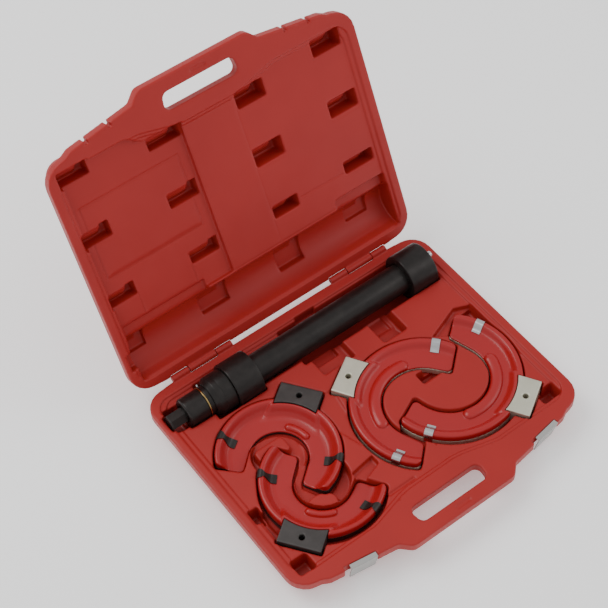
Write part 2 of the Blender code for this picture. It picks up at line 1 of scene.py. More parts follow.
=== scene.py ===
"""Looks for the coil spring compressor kit.

Fine surfaces, materials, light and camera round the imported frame.
"""

import json
import math

import bmesh
import bpy
import numpy as np
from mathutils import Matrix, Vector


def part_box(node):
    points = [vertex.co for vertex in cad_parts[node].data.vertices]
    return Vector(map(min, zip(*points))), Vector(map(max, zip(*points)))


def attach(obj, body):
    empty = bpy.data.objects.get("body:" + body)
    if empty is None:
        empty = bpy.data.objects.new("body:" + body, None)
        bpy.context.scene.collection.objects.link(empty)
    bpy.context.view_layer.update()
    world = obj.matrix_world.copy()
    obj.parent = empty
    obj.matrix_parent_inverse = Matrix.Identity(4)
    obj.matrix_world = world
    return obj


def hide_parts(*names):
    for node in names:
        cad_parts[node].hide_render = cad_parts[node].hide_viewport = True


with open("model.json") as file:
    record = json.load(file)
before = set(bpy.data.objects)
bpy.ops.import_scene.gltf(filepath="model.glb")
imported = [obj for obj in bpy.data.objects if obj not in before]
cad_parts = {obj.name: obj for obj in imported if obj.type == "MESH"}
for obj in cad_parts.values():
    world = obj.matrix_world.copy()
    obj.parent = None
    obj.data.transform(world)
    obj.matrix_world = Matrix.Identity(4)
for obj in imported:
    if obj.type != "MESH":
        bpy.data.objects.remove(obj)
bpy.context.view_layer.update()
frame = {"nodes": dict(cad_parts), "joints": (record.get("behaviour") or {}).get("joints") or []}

import openvdb
from mathutils import Matrix, Vector

MM = 0.001

# The hinge line is the origin of every length below, in mm.
# The lid's own frame has +Y from the hinge to its edge.
joints = {joint["name"]: joint for joint in frame["joints"]}
HINGE = Vector(joints["lid_hinge"]["pos_m"])
LID_OPEN = math.radians(180.0 + joints["lid_hinge"]["range_deg"][0])
BASE = Matrix.Translation(HINGE)
LID = BASE @ Matrix.Rotation(LID_OPEN, 4, "X")
TOOL_Y = (joints["spindle_spin"]["pos_m"][1] - HINGE.y) / MM
TOOL = BASE @ Matrix.Translation((0.0, TOOL_Y * MM, 0.0))


def span(node, axis=0):
    """The low and high ends of a CAD node along a row axis, in mm from the hinge line."""
    low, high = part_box(node)
    return (low[axis] - HINGE[axis]) / MM, (high[axis] - HINGE[axis]) / MM


# ---------------------------------------------------------------- distances


def rmax(a, b, r):
    """Intersection of two distance fields with its edge rounded to r."""
    return np.minimum(np.maximum(a, b), -r) + np.hypot(np.maximum(a + r, 0), np.maximum(b + r, 0))


def rmin(a, b, r):
    """Union with its inner corner filled to r."""
    return -rmax(-a, -b, r)


def carve(solid, hollow, r):
    return rmax(solid, -hollow, r)


def rounded(corners, turn=15.0):
    """The outline through corners (x, y, radius), with an arc of that radius at each corner."""
    outline = []
    for i, (x, y, radius) in enumerate(corners):
        here = Vector((x, y))
        before = (Vector(corners[i - 1][:2]) - here).normalized()
        after = (Vector(corners[(i + 1) % len(corners)][:2]) - here).normalized()
        half = before.angle(after) / 2
        if radius <= 0 or half > math.radians(88.0):
            outline.append((x, y))
            continue
        middle = here + (before + after).normalized() * radius / math.sin(half)
        start = here + before * radius / math.tan(half) - middle
        end = here + after * radius / math.tan(half) - middle
        sweep = start.angle_signed(end)
        steps = max(1, round(math.degrees(abs(sweep)) / turn))
        for k in range(steps + 1):
            point = middle + Matrix.Rotation(-sweep * k / steps, 2) @ start
            outline.append((point.x, point.y))
    return outline


def mirrored(half):
    return half + [(-x, y, radius) for x, y, radius in reversed(half)]


def polygon(x, y, points):
    """Signed distance to a closed polygon, negative inside."""
    best = np.full(x.shape, 1e12)
    inside = np.zeros(x.shape, bool)
    for i, (ax, ay) in enumerate(points):
        bx, by = points[i - 1]
        ex, ey = bx - ax, by - ay
        wx, wy = x - ax, y - ay
        t = np.clip((wx * ex + wy * ey) / (ex * ex + ey * ey), 0, 1)
        best = np.minimum(best, (wx - ex * t) ** 2 + (wy - ey * t) ** 2)
        up = (ay <= y) & (by > y) & (ex * wy > ey * wx)
        down = (ay > y) & (by <= y) & (ex * wy < ey * wx)
        inside ^= up | down
    return np.where(inside, -1.0, 1.0) * np.sqrt(best)


def rect(x, y, x0, x1, y0, y1, r=0.0):
    dx = np.abs(x - (x0 + x1) / 2) - (x1 - x0) / 2 + r
    dy = np.abs(y - (y0 + y1) / 2) - (y1 - y0) / 2 + r
    return np.hypot(np.maximum(dx, 0), np.maximum(dy, 0)) + np.minimum(np.maximum(dx, dy), 0) - r


def stroke(x, y, points, width):
    """Distance to a line through points, as wide as given."""
    best = np.full(x.shape, 1e12)
    for (ax, ay), (bx, by) in zip(points, points[1:]):
        ex, ey = bx - ax, by - ay
        t = np.clip(((x - ax) * ex + (y - ay) * ey) / (ex * ex + ey * ey), 0, 1)
        best = np.minimum(best, (x - ax - ex * t) ** 2 + (y - ay - ey * t) ** 2)
    return np.sqrt(best) - width / 2


def well(plan, z, floor, draft=0.08, r=3.0):
    """A hollow with sloping walls from a plan distance."""
    return rmax(plan - draft * z, floor - z, r)


# ---------------------------------------------------------------- meshes


def finish_mesh(name, mesh, material, body, slot, nodes):
    obj = bpy.data.objects.new(name, mesh)
    mesh.materials.clear()
    mesh.materials.append(material)
    bpy.context.scene.collection.objects.link(obj)
    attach(obj, body)
    if nodes:
        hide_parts(*nodes)
    return obj


def solid(name, field, low, high, step, place, material, body, slot=None, nodes=(), adaptivity=0.02):
    """A mesh of the surface where a distance field is zero. field(x, y) returns a function of z."""
    low = np.array(low) - 2.2 * step
    counts = [int(math.ceil((h + 2.2 * step - l) / step)) + 1 for l, h in zip(low, high)]
    x = (low[0] + step * np.arange(counts[0]))[:, None]
    y = (low[1] + step * np.arange(counts[1]))[None, :]
    x, y = np.broadcast_arrays(x, y)
    level = field(x.astype(float), y.astype(float))
    values = np.empty(counts, np.float32)
    for k in range(counts[2]):
        values[:, :, k] = level(low[2] + step * k)
    limit = 3.5 * step
    grid = openvdb.FloatGrid(limit)
    grid.copyFromArray(np.clip(values, -limit, limit))
    points, triangles, quads = grid.convertToPolygons(isovalue=0.0, adaptivity=adaptivity)
    slopes = np.gradient(values)
    cell = np.clip(points.astype(int), 0, np.array(counts) - 2)
    share = points - cell
    normals = np.zeros((len(points), 3))
    for corner in np.ndindex(2, 2, 2):
        at = tuple((cell + corner).T)
        weight = np.prod(np.where(corner, share, 1 - share), axis=1)
        normals += weight[:, None] * np.stack([slope[at] for slope in slopes], axis=1)
    normals /= np.maximum(np.linalg.norm(normals, axis=1, keepdims=True), 1e-9)
    loops = np.concatenate([triangles[:, ::-1].ravel(), quads[:, ::-1].ravel()]).astype(np.int32)
    sizes = np.concatenate([np.full(len(triangles), 3), np.full(len(quads), 4)]).astype(np.int32)
    mesh = bpy.data.meshes.new(name)
    mesh.vertices.add(len(points))
    facing = np.array(place.to_3x3())
    spots = (points * step + low) * MM @ facing.T + np.array(place.translation)
    normals = normals @ facing.T
    mesh.vertices.foreach_set("co", spots.astype(np.float32).ravel())
    mesh.loops.add(len(loops))
    mesh.loops.foreach_set("vertex_index", loops)
    mesh.polygons.add(len(sizes))
    mesh.polygons.foreach_set("loop_start", np.concatenate([[0], np.cumsum(sizes)[:-1]]).astype(np.int32))
    mesh.update(calc_edges=True)
    mesh.validate()
    mesh.shade_smooth()
    if len(mesh.vertices) == len(normals):
        face = mesh.polygons[0]
        toward = Vector(normals[face.vertices[0]])
        if face.normal.dot(toward) < 0:
            mesh.flip_normals()
        mesh.normals_split_custom_set_from_vertices(normals.astype(np.float32))
    return finish_mesh(name, mesh, material, body, slot, nodes)


def plain_mesh(name, points, faces, sharp, place):
    """A mesh from points and faces, smooth across edges below the sharp angle, in its place."""
    mesh = bpy.data.meshes.new(name)
    mesh.from_pydata(points, [], faces)
    work = bmesh.new()
    work.from_mesh(mesh)
    bmesh.ops.recalc_face_normals(work, faces=work.faces)
    work.to_mesh(mesh)
    work.free()
    mesh.shade_smooth()
    mesh.set_sharp_from_angle(angle=math.radians(sharp))
    mesh.transform(place)
    return mesh


def turned(name, profile, place, material, body, slot, nodes, steps=128, closed=False):
    """A body turned about the X axis. The profile is a list of (x, radius)."""
    points = []
    angles = [2 * math.pi * k / steps for k in range(steps)]
    for px, radius in profile:
        points += [(px * MM, radius * math.cos(a) * MM, radius * math.sin(a) * MM) for a in angles]
    faces = []
    rows = len(profile)
    for i in range(rows if closed else rows - 1):
        for k in range(steps):
            n = (k + 1) % steps
            j = (i + 1) % rows
            faces.append((i * steps + k, i * steps + n, j * steps + n, j * steps + k))
    if not closed:
        faces.append(tuple(range(steps)))
        faces.append(tuple(range((rows - 1) * steps, rows * steps)))
    mesh = plain_mesh(name, points, faces, 28, place)
    return finish_mesh(name, mesh, material, body, slot, nodes)


def soften(profile, r=0.6, steps=4):
    """A closed profile with each corner rounded."""
    softened = []
    count = len(profile)
    for i in range(count):
        here = Vector(profile[i])
        before, after = Vector(profile[i - 1]) - here, Vector(profile[(i + 1) % count]) - here
        reach = min(r, before.length * 0.45, after.length * 0.45)
        a, b = here + before.normalized() * reach, here + after.normalized() * reach
        for k in range(steps + 1):
            t = k / steps
            softened.append(tuple(a.lerp(here, t).lerp(here.lerp(b, t), t)))
    return softened


# ---------------------------------------------------------------- materials


class Shader:
    """A node material, built a few nodes at a time."""

    def __init__(self, name):
        self.material = bpy.data.materials.new(name)
        self.material.use_nodes = True
        self.tree = self.material.node_tree
        self.surface = self.tree.nodes["Principled BSDF"]
        self.place = self.add("ShaderNodeTexCoord").outputs["Object"]

    def add(self, kind, **settings):
        node = self.tree.nodes.new(kind)
        for key, value in settings.items():
            setattr(node, key, value)
        return node

    def link(self, source, target):
        self.tree.links.new(source, target)

    def noise(self, scale, detail=4.0, rough=0.55, stretch=None):
        node = self.add("ShaderNodeTexNoise")
        node.inputs["Scale"].default_value = scale
        node.inputs["Detail"].default_value = detail
        node.inputs["Roughness"].default_value = rough
        source = self.place
        if stretch:
            mapping = self.add("ShaderNodeMapping")
            mapping.inputs["Scale"].default_value = stretch
            self.link(source, mapping.inputs["Vector"])
            source = mapping.outputs["Vector"]
        self.link(source, node.inputs["Vector"])
        return node.outputs["Fac"]

    def range(self, source, low, high, start=0.3, end=0.7):
        node = self.add("ShaderNodeMapRange")
        node.inputs["From Min"].default_value = start
        node.inputs["From Max"].default_value = end
        node.inputs["To Min"].default_value = low
        node.inputs["To Max"].default_value = high
        self.link(source, node.inputs["Value"])
        return node.outputs["Result"]

    def mix(self, share, first, second):
        node = self.add("ShaderNodeMix", data_type="RGBA")
        for index, value in ((0, share), (6, first), (7, second)):
            if isinstance(value, bpy.types.NodeSocket):
                self.link(value, node.inputs[index])
            else:
                node.inputs[index].default_value = value if index == 0 else (*value, 1.0)
        return node.outputs[2]

    def bump(self, *layers):
        """layers are (height output, strength, distance in mm)."""
        normal = None
        for height, strength, distance in layers:
            node = self.add("ShaderNodeBump")
            node.inputs["Strength"].default_value = strength
            node.inputs["Distance"].default_value = distance * MM
            self.link(height, node.inputs["Height"])
            if normal:
                self.link(normal, node.inputs["Normal"])
            normal = node.outputs["Normal"]
        self.link(normal, self.surface.inputs["Normal"])

    def set(self, **values):
        for key, value in values.items():
            socket = self.surface.inputs[key.replace("_", " ")]
            if isinstance(value, bpy.types.NodeSocket):
                self.link(value, socket)
            else:
                socket.default_value = value


def plastic(name, colour, dark, roughness, grain, shine=0.3, coat=0.0):
    shader = Shader(name)
    cloud = shader.noise(9.0, 3.0)
    speck = shader.noise(900.0, 2.0)
    tint = shader.mix(shader.range(cloud, 0.0, 0.5), colour, dark)
    shader.set(Base_Color=shader.mix(shader.range(speck, 0.0, 0.14), tint, dark))
    shader.set(Roughness=shader.range(shader.noise(35.0, 4.0), roughness - 0.04, roughness + 0.06))
    shader.set(IOR=1.5, Specular_IOR_Level=shine, Coat_Weight=coat, Coat_Roughness=0.2)
    shader.bump((shader.noise(1500.0, 2.0), grain, 0.05), (shader.noise(30.0, 3.0), 0.08, 0.6))
    return shader.material


def metal(name, colour, worn, roughness, metallic=1.0, brush=None, wear=0.35, grain=0.25):
    shader = Shader(name)
    blotch = shader.noise(55.0, 5.0, 0.6)
    shader.set(Base_Color=shader.mix(shader.range(blotch, 0.0, wear, 0.35, 0.75), colour, worn))
    smear = shader.range(shader.noise(120.0, 5.0), roughness - 0.06, roughness + 0.1)
    shader.set(Metallic=metallic, Roughness=smear)
    layers = [(shader.noise(700.0, 3.0), grain, 0.06)]
    if brush:
        layers.append((shader.noise(260.0, 3.0, 0.6, brush), 0.3, 0.05))
    shader.bump(*layers)
    return shader.material


CASE_RED = plastic("moulded_case_red", (0.40, 0.023, 0.020), (0.32, 0.016, 0.014), 0.42, 0.35)
LINER_RED = plastic("liner_vinyl_red", (0.41, 0.014, 0.016), (0.34, 0.010, 0.011), 0.32, 0.12, 0.4, 0.12)
LATCH_GREY = plastic("latch_plastic_grey", (0.40, 0.395, 0.38), (0.34, 0.335, 0.32), 0.38, 0.25)
BLACK = metal("blackened_steel", (0.024, 0.020, 0.018), (0.050, 0.042, 0.038), 0.36, 0.5, None, 0.5)
BLACK_TURNED = metal(
    "blackened_turned_steel", (0.020, 0.017, 0.016), (0.040, 0.035, 0.032), 0.34, 0.55, (0.05, 1.0, 1.0), 0.5
)
BLACK_FORGED = metal(
    "blackened_forged_block", (0.046, 0.040, 0.038), (0.085, 0.076, 0.072), 0.44, 0.4, None, 0.5, 0.5
)
ZINC = metal("dull_zinc_plate", (0.58, 0.565, 0.455), (0.68, 0.665, 0.56), 0.44, 0.65, None, 0.6, 0.45)
BRIGHT = metal("bright_steel", (0.60, 0.61, 0.62), (0.45, 0.45, 0.45), 0.26, 1.0, (1.0, 0.05, 1.0), 0.4)
BRASS = metal("machined_brass", (0.42, 0.29, 0.12), (0.30, 0.20, 0.08), 0.28, 1.0, (0.05, 1.0, 1.0), 0.4)


# ---------------------------------------------------------------- yokes

SMALL = {"R": 89.0, "r": 42.0}
LARGE = {"R": 107.0, "r": 60.0}
BLOCK = (62.0, 30.0)
NOTCH_IN = 8.0
YOKE_BOTTOM, PLATE_TOP, LINER_BOTTOM, BLOCK_TOP = -24.5, -13.3, -13.0, -0.5
# size, centre and bearing of the block; for each end, the bearings of its outer and inner corners
# from the block and the inner corner's distance; then the bearings of the two clips
YOKES = {
    "small_yoke_rear": (
        SMALL, (-144.0, -189.0), 36.0, (119.0, 134.0, 54.0), (-115.0, -126.0, 54.0), (88.0, -80.0),
    ),
    "small_yoke_front": (
        SMALL, (-120.5, -259.0), 216.0, (99.0, 110.0, 47.0), (-110.0, -124.0, 54.0), (74.0, -78.0),
    ),
    "large_yoke_left": (
        LARGE, (69.0, -246.5), 122.0, (106.0, 109.0, 68.0), (-97.0, -108.0, 66.0), (87.0, -81.0),
    ),
    "large_yoke_right": (
        LARGE, (123.5, -233.5), 302.0, (103.0, 107.0, 70.0), (-111.0, -122.0, 62.0), (81.0, -87.0),
    ),
}
# the bead on each liner: its two bearings, its distance from the centre and its half width
BEADS = {
    "small_yoke_rear": (-32.0, 2.0, 50.0, 5.4),
    "small_yoke_front": (-6.0, 34.0, 49.0, 5.4),
    "large_yoke_left": (-44.0, 50.0, 69.0, 9.0),
    "large_yoke_right": (-46.0, 46.0, 69.0, 9.0),
}


def polar(radius, degrees):
    return Vector((radius * math.cos(math.radians(degrees)), radius * math.sin(math.radians(degrees))))


def inner_edge(radius, plus, minus):
    """Points along the inner edge: in from the minus end, round the arc and out to the plus end."""
    points = []
    for sign, (_, bearing, distance) in ((-1, minus), (1, plus)):
        corner = polar(max(distance, radius), bearing)
        lean = math.degrees(math.acos(min(1.0, radius / corner.length)))
        turn = math.degrees(math.atan2(corner.y, corner.x)) % 360 * sign
        points.append((corner, (turn % 360) * sign - sign * lean))
    (first, start), (last, end) = points
    return [first] + [polar(radius, start + (end - start) * k / 40) for k in range(41)] + [last]


def yoke_outline(size, plus, minus, corner=9.0):
    """The C-shaped outline of a yoke, with the corners of its ends rounded."""
    inner = inner_edge(size["r"], plus, minus)
    low, high = minus[0], plus[0]
    outer = [polar(size["R"], low + (high - low) * k / 60) for k in range(61)]
    corners = [(p.x, p.y, 0.0) for p in outer] + [(p.x, p.y, 0.0) for p in reversed(inner)]
    ends = {0: corner, 60: corner, 61: corner * 0.8, len(corners) - 1: corner * 0.8}
    kept = []
    for i, (x, y, _) in enumerate(corners):
        near = min(abs(i - e) for e in ends)
        if 0 < near < 3 and i not in ends and not 61 < i < len(corners) - 1:
            continue
        kept.append((x, y, ends.get(i, 0.0)))
    return rounded(kept)


def beside_block(x, y, size, grow=0.0):
    """Distance to the strip of the rim that the block takes up."""
    reach = size["R"] - NOTCH_IN
    return np.maximum(np.abs(y) - BLOCK[0] / 2 - grow, np.maximum(reach - grow - np.hypot(x, y), -x))


# height of a liner's face at each distance in from its outer edge
LARGE_FACE = (
    (0.0, -3.4), (1.5, -1.7), (4.5, -1.0), (8.0, -1.5), (11.0, -3.9), (13.5, -7.2), (16.0, -9.2),
    (20.0, -10.0), (60.0, -10.4),
)
SMALL_FACE = (
    (0.0, -3.4), (1.5, -1.7), (4.0, -1.0), (7.0, -1.7), (9.0, -4.0), (13.0, -10.6), (17.0, -14.8),
    (20.0, -16.0), (24.0, -16.5), (60.0, -17.2),
)


def liner_face(x, y, size):
    """Height of the liner's face, with its rim led round the block's seat."""
    radius = np.hypot(x, y)
    beyond = np.maximum(np.abs(y) - BLOCK[0] / 2, 0.0)
    seat = np.hypot(beyond, np.maximum(size["R"] - NOTCH_IN - radius, 0.0))
    deep = rmin(size["R"] - radius, np.where(x > 0, seat + 3.0, 99.0), 5.0)
    stations, heights = zip(*(LARGE_FACE if size is LARGE else SMALL_FACE))
    return np.interp(deep, stations, heights)


def liner_field(name):
    size, _, _, plus, minus, clips = YOKES[name]
    outline = yoke_outline(size, plus, minus)
    bead_low, bead_high, bead_radius, bead_width = BEADS[name]

    def field(x, y):
        radius = np.hypot(x, y)
        bearing = np.arctan2(y, x)
        plan = carve(polygon(x, y, outline), beside_block(x, y, size, 0.5), 1.0)
        face = liner_face(x, y, size)
        # the bead beside the inner edge
        middle = math.radians((bead_low + bead_high) / 2)
        half = math.radians((bead_high - bead_low) / 2)
        turned_by = np.angle(np.exp(1j * (bearing - middle)))
        end = middle + np.sign(turned_by) * half
        beyond = np.hypot(x - bead_radius * np.cos(end), y - bead_radius * np.sin(end))
        off = np.where(np.abs(turned_by) < half, np.abs(radius - bead_radius), beyond)
        top = face + 5.0 * np.sqrt(np.clip(1.0 - (off / bead_width) ** 2, 0.0, 1.0))
        underside = np.minimum(face - 2.6, LINER_BOTTOM)
        # the moulded tabs that hang down behind the straps of the large yokes
        tab = np.full(x.shape, 9.0)
        if size is LARGE:
            for clip_at in clips:
                c, s = math.cos(math.radians(clip_at)), math.sin(math.radians(clip_at))
                across = np.abs(-x * s + y * c)
                tab = np.minimum(tab, np.maximum(across - 6.0, np.abs(radius - size["R"] - 0.2) - 1.0))
                tab = np.where(x * c + y * s > 0, tab, 9.0)

        def level(z):
            body = rmax(rmax(plan, (z - top) * 0.7, 2.0), underside - z, 0.5)
            return np.minimum(body, rmax(tab, abs(z + 12.0) - 7.0, 0.6))

        return level

    return field


def plate_field(name):
    size, _, _, plus, minus, _ = YOKES[name]
    outline = yoke_outline(size, plus, minus, 6.0)

    def field(x, y):
        plan = carve(polygon(x, y, outline) + 0.1, beside_block(x, y, size, 0.4), 0.6)
        top = np.minimum(liner_face(x, y, size) - 2.9, PLATE_TOP)

        def level(z):
            return rmax(rmax(plan, (z - top) * 0.8, 1.2), YOKE_BOTTOM - z, 1.2)

        return level

    return field


def block_field(size):
    inside = size["R"] - NOTCH_IN + 0.3
    outside = size["R"] - NOTCH_IN + BLOCK[1]
    middle = (inside + outside) / 2

    def field(x, y):
        plan = rmax(np.abs(y) - BLOCK[0] / 2, x - outside, 1.2)
        plan = rmax(plan, inside - np.hypot(x, y), 0.8)
        hole = np.hypot(x - middle, y)

        def level(z):
            body = rmax(rmax(plan, z - BLOCK_TOP, 0.9), YOKE_BOTTOM - z, 0.9)
            drill = hole - 4.1 - np.clip(z - (BLOCK_TOP - 1.0), 0.0, 2.0)
            return np.maximum(body, -drill)

        return level

    return field


def clip(name, size, bearing, width, material, place, body, slot, node, waist):
    """A strap bent over the rim. waist narrows its middle."""
    path = [(-0.75, -12.0), (-0.85, -8.0), (-0.8, -4.6), (0.1, -2.1), (2.2, -0.6), (4.6, 0.0)]
    if size is LARGE:
        path += [(8.3, -0.4), (11.6, -3.1), (14.3, -6.7), (16.8, -8.4), (20.5, -9.1)]
    else:
        path += [(7.5, -0.7), (9.8, -3.3), (13.8, -9.8), (17.4, -13.7), (20.2, -15.0), (25.5, -15.6)]
    smooth = []
    for i in range(len(path) - 1):
        a, b = Vector(path[i]), Vector(path[i + 1])
        smooth += [a.lerp(b, t / 3) for t in range(3)]
    smooth.append(Vector(path[-1]))
    total = len(smooth)
    points, faces = [], []
    for i, point in enumerate(smooth):
        ahead = smooth[min(i + 1, total - 1)] - smooth[max(i - 1, 0)]
        side = Vector((-ahead.y, ahead.x)).normalized() * 0.55
        share = i / (total - 1)
        half = width / 2 * (1.0 - waist * math.exp(-(((share - 0.62) / 0.14) ** 2)))
        for offset, across in ((-side, -half), (side, -half), (side, half), (-side, half)):
            spot = point + offset
            radius = size["R"] - spot.x
            points.append((radius * MM, across * MM, spot.y * MM))
    for i in range(total - 1):
        for k in range(4):
            n = (k + 1) % 4
            faces.append((4 * i + k, 4 * i + n, 4 * i + 4 + n, 4 * i + 4 + k))
    faces += [(0, 1, 2, 3), tuple(range(4 * total - 4, 4 * total))]
    mesh = plain_mesh(name, points, faces, 50, place @ Matrix.Rotation(math.radians(bearing), 4, "Z"))
    return finish_mesh(name, mesh, material, body, slot, [node])


def placed(centre, bearing):
    """The place of a piece of the base at centre, turned to bearing."""
    x, y = centre
    return BASE @ Matrix.Translation((x * MM, y * MM, 0.0)) @ Matrix.Rotation(math.radians(bearing), 4, "Z")


def build_yokes():
    for name, (size, centre, bearing, plus, minus, clips) in YOKES.items():
        place = placed(centre, bearing)
        large = size is LARGE
        reach = size["R"]
        steel, slot = (ZINC, "zinc_steel") if large else (BLACK, "black_steel")
        low, high = (-reach, -reach, YOKE_BOTTOM), (reach, reach, 0.0)
        solid(
            name + "_lining", liner_field(name), low, high, 0.9,
            place, LINER_RED, name, "liner_red", [name + "_liner"],
        )
        solid(
            name + "_back", plate_field(name), low, (reach, reach, PLATE_TOP), 1.0,
            place, steel, name, slot, [name + "_plate"],
        )
        near, far = reach - NOTCH_IN, reach - NOTCH_IN + BLOCK[1]
        solid(
            name + "_lug", block_field(size),
            (near - 8.0, -BLOCK[0] / 2, YOKE_BOTTOM), (far, BLOCK[0] / 2, BLOCK_TOP), 0.6,
            place, ZINC if large else BLACK_FORGED, name, slot, [name + "_block"],
        )
        for label, where in zip("ab", clips):
            clip(
                f"{name}_strap_{label}", size, where, 12.5 if large else 14.0,
                BRIGHT if large else BLACK, place, name, "bright_steel" if large else "black_steel",
                f"{name}_clip_{label}", 0.0 if large else 0.55,
            )


# ---------------------------------------------------------------- case

FLANGE_H, RIM_GAP, DEPTH = 16.0, 0.25, 46.0
FLANGE_HALF = [
    (88.0, -418.0, 14.0),
    (103.0, -402.5, 8.0),
    (204.0, -387.5, 4.0),
    (215.0, -381.5, 4.0),
    (250.0, -375.0, 33.0),
    (250.0, -8.0, 32.0),
    (197.0, -3.2, 2.0),
]
PANEL_HALF = [(46.0, -346.0, 60.0), (108.0, -362.5, 30.0), (237.0, -362.5, 26.0), (237.0, -20.0, 20.0)]
# the second step down, set in from the panel's edge
STEP_HALF = [(x - (7.0 if x > 200 else 0.0), y + (5.0 if y < -300 else -4.0), r) for x, y, r in PANEL_HALF]
HANDLE_HALF = [(57.0, -397.0, 10.0), (61.0, -370.0, 10.0)]
BODY_HALF = [(70.0, -359.0, 40.0), (112.0, -371.0, 30.0), (240.0, -371.0, 26.0), (240.0, -13.0, 26.0)]
BASE_KNUCKLES = ((-193.5, -164.5), (-117.0, -89.5), (91.0, 121.0), (168.0, 194.5))
LID_KNUCKLES = ((-163.9, -117.6), (121.6, 167.4))
EDGE_SLOPE = math.atan2(15.0, 101.0)
SLIT_X = (-160.0, 164.0)
# heights of the floors, from the parting plane
PANEL_FLOOR, STEP_FLOOR = -2.7, -5.0
POCKET_FLOOR, SUNKEN_FLOOR, END_FLOOR = -25.0, -21.0, -14.8
LEFT_PANEL_FLOOR, GROOVE_FLOOR, BAY_FLOOR = -12.6, -7.5, -18.0
LID_WELL_FLOOR, GROOVE_WELL_FLOOR = -32.0, -42.5
# radii of the beds that the tool lies in
CAP_BED_R, COLLAR_BED_R, TUBE_BED_R, LID_GROOVE_R = 24.0, 35.4, 26.0, 36.0


def turn(outline, side):
    """An outline drawn for the base, turned over for the lid."""
    return outline if side < 0 else [(x, -y) for x, y in outline]


def shell(x, y, side):
    """The outside of one half of the case, with its hinge knuckles and the hole for the hand."""
    flange = polygon(x, y, turn(rounded(mirrored(FLANGE_HALF)), side))
    body = polygon(x, y, turn(rounded(mirrored(BODY_HALF)), side))
    panel = polygon(x, y, turn(rounded(mirrored(PANEL_HALF)), side))
    inner = polygon(x, y, turn(rounded(mirrored(STEP_HALF)), side))
    handle = polygon(x, y, turn(rounded(mirrored(HANDLE_HALF)), side))
    grip = rect(x, y, -9.0, 17.0, *((-411.0, -404.5) if side < 0 else (403.5, 410.0)), 3.0)
    own = BASE_KNUCKLES if side < 0 else LID_KNUCKLES
    other = LID_KNUCKLES if side < 0 else BASE_KNUCKLES

    def level(z):
        out = rmax(flange, abs(z + (FLANGE_H + RIM_GAP) / 2) - (FLANGE_H - RIM_GAP) / 2, 1.6)
        low = rmax(body + 0.02 * (-z - FLANGE_H), -DEPTH - z, 11.0)
        low = np.maximum(low, z + FLANGE_H - 3.0)
        out = rmin(out, low, 2.5)
        out = carve(out, well(panel, z, PANEL_FLOOR, 0.3, 0.8), 0.9)
        out = carve(out, well(inner, z, STEP_FLOOR, 0.3, 0.8), 0.7)
        out = carve(out, well(grip, z, -1.6, 0.4, 1.0), 0.5)
        out = carve(out, handle + 0.04 * abs(z + 8.0), 2.0)
        return out

    def knuckles(out, z):
        barrel = np.hypot(y, z)
        for x0, x1 in other:
            gap = np.maximum(np.abs(x - (x0 + x1) / 2) - (x1 - x0) / 2 - 0.4, barrel - 6.0)
            out = np.maximum(out, -gap)
        for x0, x1 in own:
            knuckle = rmax(np.abs(x - (x0 + x1) / 2) - (x1 - x0) / 2, barrel - 5.4, 0.8)
            out = rmin(out, knuckle, 0.8)
        for x0, x1 in ((-192.0, -91.0), (92.5, 193.0)):
            bore = np.maximum(np.abs(x - (x0 + x1) / 2) - (x1 - x0) / 2 - 0.5, barrel - 2.3)
            out = np.maximum(out, -bore)
        return out

    return level, knuckles


def channel(x, y, z, x0, x1, radius, axis=TOOL_Y):
    """A round-bottomed hollow along X, open above."""
    across = y - axis
    around = np.where(z > 0, np.abs(across), np.hypot(across, z)) - radius
    return rmax(around, np.abs(x - (x0 + x1) / 2) - (x1 - x0) / 2, 2.0)


def local(x, y, centre, bearing):
    c, s = math.cos(math.radians(bearing)), math.sin(math.radians(bearing))
    dx, dy = x - centre[0], y - centre[1]
    return dx * c + dy * s, -dx * s + dy * c


def edge_place(x, side):
    """The point of the slanting front edge at x, and the turn that puts +X along it and +Y outward."""
    (x0, y0), (x1, y1) = FLANGE_HALF[1][:2], FLANGE_HALF[2][:2]
    depth = y0 + (abs(x) - x0) * (y1 - y0) / (x1 - x0)
    slope = math.copysign(EDGE_SLOPE, x)
    return (x, -side * depth), math.degrees(math.pi + slope if side < 0 else -slope)


def latch_x(label):
    low, high = span(f"latch_{label}")
    return (low + high) / 2


# the pockets run on past the yokes on this side
POCKET_SHIFT = {
    "small_yoke_rear": (-3.0, -3.0),
    "small_yoke_front": (-6.0, -8.5),
    "large_yoke_left": (-4.0, -4.0),
    "large_yoke_right": (-4.0, -6.0),
}


# corners of the low facets in the tray between the yokes
RIGHT_FACET = [(148.0, -168.0), (205.0, -147.0), (229.0, -157.0), (229.0, -215.0), (180.0, -190.0)]
MIDDLE_FACET = [(-58.0, -150.0), (-20.0, -150.0), (-28.0, -200.0), (-46.0, -250.0), (-60.0, -205.0)]


